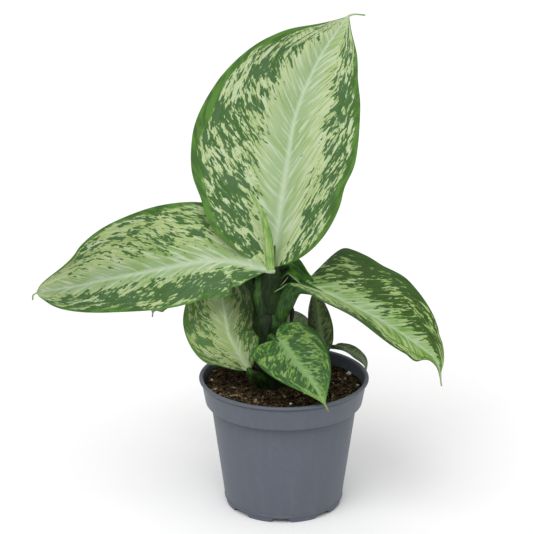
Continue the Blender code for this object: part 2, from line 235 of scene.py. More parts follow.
def solid_mesh(name: str, points: Array, faces: list | Array, slots: list | None = None,
               sharp_degrees: float = 50) -> Mesh:
    """Makes a smooth-shaded mesh.

    Args:
        name: The mesh's name.
        points: Points in millimetres.
        faces: The point numbers of each face.
        slots: A material index for each face.
        sharp_degrees: Edges that turn more than this stay sharp.

    Returns:
        The mesh, in metres.
    """
    mesh = bpy.data.meshes.new(name)
    mesh.from_pydata((np.asarray(points) * MM).tolist(), [], [[int(n) for n in face] for face in faces])
    if slots is not None:
        mesh.polygons.foreach_set("material_index", slots)
    mesh.shade_smooth()
    mesh.set_sharp_from_angle(angle=math.radians(sharp_degrees))
    return mesh


def sheet_faces(rows: int, columns: int) -> Array:
    """Faces of a closed sheet, whose front points come row by row and are followed by its back points.

    Args:
        rows: Rows of each side.
        columns: Columns of each side.

    Returns:
        The front's faces, as many for the back, and those of the edge.
    """
    number = np.arange(rows * columns).reshape(rows, columns)
    corners = [number[:-1, :-1], number[:-1, 1:], number[1:, 1:], number[1:, :-1]]
    front = np.stack(corners, -1).reshape(-1, 4)
    loop = np.concatenate([number[0, :], number[1:, -1], number[-1, -2::-1], number[-2:0:-1, 0]])
    after = np.roll(loop, -1)
    edge = np.stack([after, loop, loop + number.size, after + number.size], -1)
    return np.concatenate([front, front[:, ::-1] + number.size, edge])


def store(mesh: Mesh, name: str, values: Array) -> None:
    """Keeps a vector for each point of a mesh, under a name that its material reads."""
    made = mesh.attributes.new(name, "FLOAT_VECTOR", "POINT")
    made.data.foreach_set("vector", np.asarray(values, np.float32).ravel())


def add_object(name: str, data: bpy.types.ID) -> bpy.types.Object:
    """Makes an object and puts it in the scene.

    Args:
        name: The object's name.
        data: Its mesh, light or camera.

    Returns:
        The new object.
    """
    made = bpy.data.objects.new(name, data)
    bpy.context.scene.collection.objects.link(made)
    return made


def place(name: str, mesh: Mesh, materials: list,
          replaces: tuple = ()) -> bpy.types.Object:
    """Puts a piece in the scene, on its body, and reports it.

    Args:
        name: The piece's name.
        mesh: Its mesh.
        materials: Its materials.
        replaces: The plain solids that it stands for.

    Returns:
        The new object.
    """
    for material in materials:
        mesh.materials.append(material)
    piece = add_object(name, mesh)
    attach(piece, BODY)
    if replaces:
        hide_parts(*replaces)
    LOG.info("%s: %d faces", name, len(mesh.polygons))
    return piece


# ---- Leaf blades ----
@dataclass(frozen=True)
class Variegation:
    """A leaf's colours: a pale blade with dark blotches that run along its side veins."""

    cream: str = "B4C490"
    centre: str = "98AF82"
    wash: str = "7E9E4A"
    dark: str = "40642A"
    blue_dark: str = "4C6A46"
    margin: str = "568034"
    rib: str = "C0CEB2"
    under: str = "7F9466"
    tip: str = "7A9A55"
    cover: tuple[float, float] = (0.55, 0.45)  # blotched share of the left and right half's outer part
    clear: tuple[float, float] = (0.22, 0.22)  # share of each half-width by the midrib that stays pale
    wash_amount: float = 0.35
    margin_share: float = 0.10
    softness: float = 0.02  # how blurred the blotches' edges are
    fade: float = 0.42  # share of the half-width over which blotches come in
    tip_clear: float = 0.80  # place along the blade from which the tip turns pale
    seed: float = 0.0


@dataclass(frozen=True)
class LeafSkin:
    """Living leaf: waxy skin over pale and dark green tissue, grown with veins every few millimetres.

    The wax gives a broad satin sheen, and the veins show as fine lines and as the grain of the blotches.
    """

    colours: Variegation
    name: str
    scale: float = 1.0  # pattern size of this leaf against a full-grown one
    blotch_mm: tuple[float, float] = (3.6, 14.0)  # typical width across the veins and length along them
    fleck_mm: tuple[float, float] = (1.5, 6.0)
    drift_mm: tuple[float, float] = (22.0, 34.0)
    streak_mm: tuple[float, float] = (2.2, 26.0)
    vein_spacing_mm: float = 5.2
    spot_level: float = 1.375  # where the sum of the grains turns into a blotch
    band_level: float = 1.23  # where the drifting margin band would start if it had no width
    roughness: float = 0.48
    ior: float = 1.40
    gloss: float = 0.35  # the wax is thin and dull, so it mirrors less than a polished skin would

    def upper(self) -> bpy.types.Material:
        """The glossier upper face."""
        return self._build(self.name + "_upper_skin", 0.0)

    def under(self) -> bpy.types.Material:
        """The dull underside, where the pattern shows through faintly."""
        return self._build(self.name + "_under_skin", 0.5)

    def _grain(self, g: Graph, places: tuple, seed: float, spot_mm: tuple, detail: float) -> Socket:
        """Noise drawn out along the veins: at a slant near the midrib, along the margin further out.

        Args:
            g: The material being built.
            places: The inner place, the outer place and the share of the outer one.
            seed: Keeps this noise apart from the others.
            spot_mm: Typical width of a spot across the veins and length along them.
            detail: How many finer layers are added.

        Returns:
            A value near 0.5, between 0 and 1.
        """
        inner, outer, share = places
        size = (1 / (spot_mm[0] * self.scale), 1 / (spot_mm[1] * self.scale), 1.0)
        spots = []
        for flat, shift in ((inner, seed), (outer, seed + 7.3)):
            move = (shift, shift * 1.7, shift)
            spot = g.add("Mapping", {"Vector": flat, "Scale": size, "Location": move})
            spots.append(g.clouds(spot, 1.0, detail, 0.6))
        return g.choose(share, *spots)

    def _build(self, name: str, dulling: float) -> bpy.types.Material:
        """Builds one face's material.

        Args:
            name: The material's name.
            dulling: How far the colours go towards the underside's grey-green, from 0 to 1.

        Returns:
            The material.
        """
        c = self.colours
        g = Graph(name)
        s, x, _ = g.parts(g.read("vein_place"))
        u, d, side = g.parts(g.read("blade_place"))
        outwards = g.ramp(g.calc("MULTIPLY_ADD", u, 0.9, d), 0.95, 1.35)
        places = (g.read("inner_place"), g.read("outer_place"), outwards)
        blotch = self._grain(g, places, c.seed, self.blotch_mm, 2.0)
        fleck = self._grain(g, places, c.seed + 20, self.fleck_mm, 3.0)
        drift = self._grain(g, places, c.seed + 40, self.drift_mm, 1.0)
        streak = self._grain(g, places, c.seed + 60, self.streak_mm, 2.0)

        # Blotches: ragged, flecked, none by the midrib or the tip, and unlike on the two halves.
        cover = g.choose(side, *c.cover)
        clear = g.choose(side, *c.clear)
        reach = g.ramp(d, clear, g.calc("ADD", clear, c.fade), -0.32, 0.0)
        tip_reach = g.ramp(u, c.tip_clear, 0.97, 0.0, -0.22)
        ragged = g.calc("MULTIPLY_ADD", fleck, 0.9, blotch)
        drifted = g.calc("MULTIPLY_ADD", drift, 0.35, ragged)
        reached = g.calc("ADD", drifted, g.calc("ADD", reach, tip_reach))
        level = g.calc("MULTIPLY_ADD", cover, 0.50, reached)
        spots = g.ramp(level, self.spot_level - c.softness, self.spot_level + c.softness)

        # Margin: a solid green band with an uneven, flecked inner edge.
        edge_drift = g.calc("MULTIPLY_ADD", drift, 0.30, g.calc("MULTIPLY_ADD", fleck, 0.16, d))
        edge = self.band_level - c.margin_share
        band = g.ramp(edge_drift, edge - 0.02, edge + 0.02)

        # Pale tissue: sage by the midrib, cream further out, with green streaks and mottling.
        pale = g.blend(g.ramp(d, 0.05, 0.45), c.centre, c.cream)
        washes = g.ramp(g.calc("ADD", streak, drift), 0.98, 1.22, 0.0, c.wash_amount)
        washed = g.blend(washes, pale, c.wash)
        lit = g.blend(g.ramp(streak, 0.50, 0.34, 0.0, 0.75), washed, c.rib)

        # Side veins: fine dark lines that come and go.
        turn = g.calc("MULTIPLY", s, 2 * math.pi / (self.vein_spacing_mm * self.scale))
        wave = g.calc("COSINE", g.calc("MULTIPLY_ADD", drift, 12.0, turn))
        shown = g.ramp(streak, 0.46, 0.56, 0.0, 0.80)
        outside = g.calc("MULTIPLY", shown, g.ramp(d, 0.08, 0.38))
        lines = g.calc("MULTIPLY", g.ramp(wave, 0.86, 0.96), outside)
        lined = g.blend(lines, lit, c.dark)

        # Dark tissue: bluer where it is deep, and greener where a blotch is thin.
        dark = g.blend(g.ramp(streak, 0.40, 0.58), c.dark, c.blue_dark)
        toned = g.blend(g.ramp(level, 1.37, 1.47, 0.55, 0.0), dark, c.margin)
        spotted = g.blend(spots, lined, toned)
        edge_tone = g.blend(g.ramp(blotch, 0.40, 0.62), c.margin, c.dark)
        banded = g.blend(band, spotted, edge_tone)

        # Midrib: a pale line that narrows to the tip.
        rib_width = g.add("MapRange", {0: u, 1: 0.0, 2: 0.9, 3: 1.7 * self.scale, 4: 0.4})
        rib_mask = g.ramp(g.calc("DIVIDE", x, rib_width), 0.2, 3.0, 0.65, 0.0)
        ribbed = g.blend(rib_mask, banded, c.rib)
        colour = g.blend(g.ramp(u, 0.945, 0.985), ribbed, c.tip)
        if dulling:
            colour = g.blend(dulling, colour, c.under)

        # The skin swells softly between the veins, and finer fibres roughen it.
        bump = g.relief(g.calc("MULTIPLY_ADD", wave, -0.12, streak), 0.35, 0.25)
        smooth = self.roughness + 0.2 * dulling
        rough = g.add("MapRange", {0: streak, 1: 0.3, 2: 0.7, 3: smooth, 4: smooth + 0.12})
        return g.finish({"Base Color": colour, "Roughness": rough, "Normal": bump, "IOR": self.ior,
                         "Specular IOR Level": self.gloss})


@dataclass(frozen=True)
class Blade:
    """One leaf blade, finely meshed on its midrib, where its plain solid lies, with a finer outline."""

    name: str
    rib: tuple  # midrib points, mm
    face_base: tuple  # azimuth and elevation of the upper face
    face_tip: tuple
    left: float  # half-widths, mm
    right: float
    rise: float
    taper: float
    fold: float = 10.0
    curl: float = 8.0
    lobe: float = 0.0
    rise_right: float = 0.0  # rise of the right half, where it differs
    colours: Variegation = Variegation()
    wave: float = 0.8  # how far the margin waves, mm
    waves: float = 2.5  # how many waves along the margin
    rows: int = 150
    columns: int = 49
    bumps: tuple = ()  # places where a margin bulges: side, place along, spread, mm
    slants: tuple = (48, 48)  # angle between the side veins and the midrib on each half, degrees
    base_half: float = 2.2  # half-width where the blade joins its stalk, mm
    body_end: float = 0.94  # place along the blade where its body ends and the drip tip starts
    tip_half: float = 0.55  # half-width of the drip tip, mm
    thickness: float = 0.45
    quilt_mm: tuple = ((0.16, 9.7), (0.08, 5.9))  # heights and lengths of the swelling between the veins
    groove_mm: tuple = (0.35, 1.8)  # depth and width of the groove over the midrib
    keel_mm: tuple = (1.5, 1.7)  # height and width of the midrib underneath

    def outline(self, u: Array, rise: float) -> Array:
        """A half's width along the blade, as a share of its widest.

        Args:
            u: Places from the base, 0, to the tip, 1.
            rise: How slowly the half widens from the base.

        Returns:
            The share at each place.
        """
        v = np.clip(u / self.body_end, 0, 1)
        widest = rise / (rise + self.taper)
        body = (v / widest) ** rise * ((1 - v) / (1 - widest)) ** self.taper
        tip = 0.05 * np.clip((1 - u) / 0.2, 0, 1) ** 0.8
        return (body ** 3 + tip ** 3) ** (1 / 3)

    def surface(self) -> tuple[Array, dict]:
        """Lays a grid on the blade.

        Returns:
            The points, and the arrays u, w, half and length that go with them.
        """
        u_line = np.linspace(0, 1, self.rows)
        spread = np.linspace(-1, 1, self.columns)
        w_line = np.sign(spread) * np.abs(spread) ** 1.25
        u, w = np.meshgrid(u_line, w_line, indexing="ij")
        samples = smooth_path(self.rib, RIB_SAMPLES)
        length = float(np.linalg.norm(np.diff(samples, axis=0), axis=1).sum())
        tangents = unit(np.gradient(samples, axis=0))
        near = u / LOBE_REACH
        at = u - self.lobe * near * np.exp(1 - near) * np.abs(w) ** 1.5
        middle = rows_at(samples, at) + np.minimum(at, 0)[..., None] * length * tangents[0]
        tangent = unit(rows_at(tangents, at))
        face = facing(*self.face_base) * (1 - u[..., None]) + facing(*self.face_tip) * u[..., None]
        normal = unit(face - (face * tangent).sum(-1, keepdims=True) * tangent)
        across = np.cross(tangent, normal)
        share = np.where(w > 0, self.outline(u, self.rise_right or self.rise), self.outline(u, self.rise))
        half = np.where(w > 0, self.right, self.left) * share
        for side, centre, reach, bulge in self.bumps:
            swell = bulge * np.exp(-(((u - centre) / reach) ** 2))
            half = half + np.where(np.sign(w) == side, swell, 0.0)
        half = np.maximum(np.maximum(half, self.base_half * (1 - 20 * u)), self.tip_half)
        lift = np.radians(self.fold - self.curl * np.abs(w) / 2)
        ripple = self.wave * np.abs(w) ** 3 * share * np.sin(
            2 * math.pi * self.waves * u + np.where(w > 0, 0.0, 1.7))
        sideways = np.sign(w) * np.abs(w) * half * np.cos(lift)
        upwards = np.abs(w) * half * np.sin(lift) + ripple
        points = middle + across * sideways[..., None] + normal * upwards[..., None]
        return points, {"u": u, "w": w, "half": half, "length": length}

    def grain_places(self, grid: dict) -> tuple[Array, Array]:
        """Two ways to lay the leaf's grain out flat, mm: at a slant off the midrib, and along the margin.

        Args:
            grid: The arrays from surface.

        Returns:
            The inner and the outer place of each point, as (across the grain, along it, side).
        """
        y = grid["u"] * grid["length"]
        x = np.abs(grid["w"]) * grid["half"]
        widest = np.where(grid["w"] > 0, self.right, self.left)
        apart = np.where(grid["w"] > 0, 31.0, 0.0)
        slant = np.radians(np.where(grid["w"] > 0, self.slants[1], self.slants[0]))
        inner = np.stack([y * np.sin(slant) - x * np.cos(slant),
                          y * np.cos(slant) + x * np.sin(slant), apart], -1)
        rim = np.abs(grid["w"]) * widest
        outer = np.stack([rim - 0.30 * y, y + 0.3 * rim, apart], -1)
        return inner, outer

    def vein_place(self, grid: dict) -> Array:
        """Where each point lies across and along the side veins, which leave the midrib and bend tipwards.

        Args:
            grid: The arrays from surface.

        Returns:
            Place across the veins, distance from the midrib and side, mm.
        """
        widest = np.where(grid["w"] > 0, self.right, self.left)
        x = np.abs(grid["w"]) * grid["half"]
        lean = 1 / np.tan(np.radians(np.where(grid["w"] > 0, self.slants[1], self.slants[0])))
        s = grid["u"] * grid["length"] - lean * x - 0.9 * widest * (x / widest) ** 2.6
        return np.stack([s, x, np.where(grid["w"] > 0, 7.0, 0.0)], axis=-1)

    def mesh(self) -> Mesh:
        """Builds the closed blade: upper face, underside with its raised midrib, and thin edge."""
        points, grid = self.surface()
        u, w = grid["u"], grid["w"]
        normal = unit(np.cross(np.gradient(points, axis=1), np.gradient(points, axis=0)))
        vein = self.vein_place(grid)
        x = vein[..., 1]
        d = np.abs(w)
        body = ease(0.0, 0.06, u) * (1 - ease(0.90, 0.97, u))
        (broad, broad_mm), (narrow, narrow_mm) = self.quilt_mm
        turns = 2 * math.pi * vein[..., 0]
        quilt = broad * np.cos(turns / broad_mm + 4 * d) + narrow * np.cos(turns / narrow_mm + 1.3)
        quilt = quilt * ease(0.10, 0.45, d) * (1 - ease(0.75, 1, d))
        groove = self.groove_mm[0] * np.exp(-(x / self.groove_mm[1]) ** 2) * (1 - u)
        upper = points + normal * ((-quilt - groove) * body)[..., None]
        keel = self.keel_mm[0] * np.exp(-(x / self.keel_mm[1]) ** 2)
        keel = keel * (1 - 0.85 * u) * (1 - ease(0.9, 0.97, u))
        thick = self.thickness * (1 - 0.35 * d)
        lower = points - normal * (thick + (quilt + groove) * body + keel)[..., None]
        faces = sheet_faces(*u.shape)
        each = (u.shape[0] - 1) * (u.shape[1] - 1)
        slots = [0] * each + [1] * each + [0] * (len(faces) - 2 * each)
        points = np.vstack([upper.reshape(-1, 3), lower.reshape(-1, 3)])
        mesh = solid_mesh(self.name, points, faces, slots, 60)
        inner, outer = self.grain_places(grid)
        spot = np.stack([u, d, (w > 0).astype(float)], -1)
        kept = {"vein_place": vein, "blade_place": spot, "inner_place": inner, "outer_place": outer}
        for name, values in kept.items():
            store(mesh, name, np.tile(values.reshape(-1, 3), (2, 1)))
        return mesh

    def build(self) -> bpy.types.Object:
        """Makes the blade with its two faces' skins."""
        skin = LeafSkin(self.colours, self.name, min(1.0, 0.45 + max(self.left, self.right) / 110))
        skins = [skin.upper(), skin.under()]
        return place(self.name + "_blade", self.mesh(), skins, (self.name,))


# ---- Stems and stalks ----
@dataclass(frozen=True)
class StalkSkin:
    """Fleshy stalk: a smooth green rind with darker lengthwise streaks, grown, with a soft waxy shine."""

    name: str
    light: str
    dark: str
    streak_mm: float = 1.1
    streak_length_mm: float = 26.0
    roughness: float = 0.36

    def material(self) -> bpy.types.Material:
        """Builds the rind."""
        g = Graph(self.name)
        spot = g.read("stalk_place")
        size = (1 / self.streak_mm, 1 / self.streak_length_mm, 1.0)
        long = g.add("Mapping", {"Vector": spot, "Scale": size})
        streak = g.clouds(long, 1.0, 3.0, 0.6)
        mix = g.ramp(g.calc("ADD", streak, g.clouds(spot, 0.11, 2.0)), 0.78, 1.22)
        colour = g.blend(mix, self.dark, self.light)
        bump = g.relief(streak, 0.3, 0.2)
        return g.finish({"Base Color": colour, "Roughness": self.roughness, "Normal": bump, "IOR": 1.42,
                         "Specular IOR Level": 0.25})


@dataclass(frozen=True)
class Stalk:
    """A stem, stalk or furled leaf: a lofted tube whose section is shaped along its run."""

    name: str
    path: tuple[RingPoint, ...]
    skin: StalkSkin
    stands_for: str = ""  # the plain solid that it replaces, if any
    slot: Slot = Slot.STALK
    groove: float = 0.0  # depth of the channel on the side that looks along face, as a share
    face: Point = (0.0, -1.0, 0.0)
    ridges: float = 0.04
    flat: float = 1.0  # width across the face, as a share of the depth
    sides: int = 40
    ring_mm: float = 1.2  # how far apart its rings are

    def mesh(self) -> Mesh:
        """Lofts rings along the path and closes both ends."""
        length = sum(math.dist(a[:3], b[:3]) for a, b in zip(self.path, self.path[1:]))
        rows = max(12, int(length / self.ring_mm))
        line = smooth_path(self.path, rows)
        tangent = unit(np.gradient(line[:, :3], axis=0))
        face = np.array(self.face)
        front = unit(face - (tangent @ face)[:, None] * tangent)
        side = np.cross(tangent, front)
        theta = np.linspace(0, 2 * math.pi, self.sides, endpoint=False)
        away = np.minimum(theta, 2 * math.pi - theta)
        section = 1 + self.ridges * np.cos(3 * theta + 0.6) + 0.4 * self.ridges * np.cos(7 * theta)
        section = section - self.groove * np.exp(-(away / 0.45) ** 2)
        radius = line[:, 3:] * section[None, :]
        radius[[0, -1]] *= END_SHRINK
        points = (line[:, None, :3] + front[:, None, :] * (radius * np.cos(theta))[..., None]
                  + side[:, None, :] * (radius * self.flat * np.sin(theta))[..., None])
        number = np.arange(rows * self.sides).reshape(rows, self.sides)
        right = np.roll(number, -1, axis=1)
        quads = np.stack([number[:-1], right[:-1], right[1:], number[1:]], -1).reshape(-1, 4)
        mesh = solid_mesh(self.name, points.reshape(-1, 3), [*quads, number[0, ::-1], number[-1]])
        run = np.linspace(0, length, rows)[:, None]
        spot = np.stack(np.broadcast_arrays(theta[None, :] * line[:, 3:], run, line[:, 3:]), -1)
        store(mesh, "stalk_place", spot.reshape(-1, 3))
        return mesh

    def build(self) -> bpy.types.Object:
        """Makes the stalk with its rind."""
        replaces = (self.stands_for,) if self.stands_for else ()
        return place(self.name, self.mesh(), [self.skin.material()], replaces)


@dataclass(frozen=True)
class SheathSheet:
    """A thin curved sheet of leaf sheath, lofted between two free edges with a hollow between them."""

    name: str
    far_edge: tuple[Point, ...]
    near_edge: tuple[Point, ...]
    hollow: Point  # how far the middle sinks from the line between the edges, mm
    skin: StalkSkin
    thickness: float = 0.7
    rows: int = 40
    columns: int = 15
    row_mm: float = 0.6  # how long a row counts for the streaks

    def mesh(self) -> Mesh:
        """Lofts the closed sheet."""
        far = smooth_path(self.far_edge, self.rows)[:, None, :]
        near = smooth_path(self.near_edge, self.rows)[:, None, :]
        across = np.linspace(0, 1, self.columns)[None, :, None]
        sag = 4 * across * (1 - across) * np.array(self.hollow)
        front = near * (1 - across) + far * across + sag
        normal = unit(np.cross(np.gradient(front, axis=0), np.gradient(front, axis=1)))
        back = front - normal * self.thickness
        faces = sheet_faces(self.rows, self.columns)[:, TURNED_OVER]
        mesh = solid_mesh(self.name, np.vstack([front.reshape(-1, 3), back.reshape(-1, 3)]), faces)
        wide = np.linalg.norm(far - near, axis=-1, keepdims=True) * across
        along = np.broadcast_to(np.arange(self.rows)[:, None, None] * self.row_mm, wide.shape)
        spot = np.concatenate([wide, along, np.zeros_like(wide)], -1).reshape(-1, 3)
        store(mesh, "stalk_place", np.tile(spot, (2, 1)))
        return mesh

    def build(self) -> bpy.types.Object:
        """Makes the sheet with its rind."""
        return place(self.name, self.mesh(), [self.skin.material()])


# ---- The plant ----
CREAM = Variegation(
    cover=(0.60, 0.57), clear=(0.12, 0.22), margin_share=0.115, seed=3,
)
STRIPED = Variegation(
    cream="A9BC7E", centre="93AC7E", cover=(0.71, 0.47), clear=(0.04, 0.04), wash_amount=0.6, seed=11,
    tip_clear=0.75,
)
GREENER = Variegation(
    cream="95AE62", centre="8BA672", wash="648F30", dark="2C4C0C", blue_dark="38541F", cover=(0.66, 0.46),
    clear=(0, 0.28), wash_amount=1, margin="355A1C", rib="AABE96", seed=23,
)
PALE = Variegation(
    cream="94A468", centre="889B6C", dark="4C6C2C", rib="ACBC98", cover=(0.56, 0.56), clear=(0.12, 0.08),
    wash_amount=0.5, seed=31, tip_clear=0.9, fade=0.36,
)
JUVENILE = Variegation(
    cream="799C4A", centre="7A9C5E", wash="4A7F26", dark="2C5418", blue_dark="36582E", margin="2F5E22",
    rib="86A46A", cover=(0.54, 0.56), clear=(0, 0), wash_amount=1, margin_share=0.06, tip="8A6F42",
    tip_clear=0.7, softness=0.08, fade=0.22, seed=47,
)
# SHADED and DIM are darker copies of the leaf colours: painted shade for the leaves deep in the plant.
SHADED = Variegation(
    cream="7E8A4C", centre="6C8450", wash="4C6A2A", dark="243A18", blue_dark="28402A", margin="2C4A1E",
    rib="7E9668", under="4C5A38", cover=(0.60, 0.60), clear=(0, 0), wash_amount=0.8, seed=59,
)
DIM = Variegation(
    cream="55663A", centre="4E6038", wash="40542A", dark="28381C", blue_dark="2E4028", margin="2C3E1E",
    rib="6C7E56", under="46543A", cover=(0.55, 0.55), softness=0.06, seed=71,
)
BACKLIT = Variegation(
    cream="6E7E56", centre="748262", wash="5E7048", dark="445238", blue_dark="4A5844", margin="485638",
    rib="828C76", under="6E7864", tip="84847A", cover=(0.40, 0.40), seed=67,
)


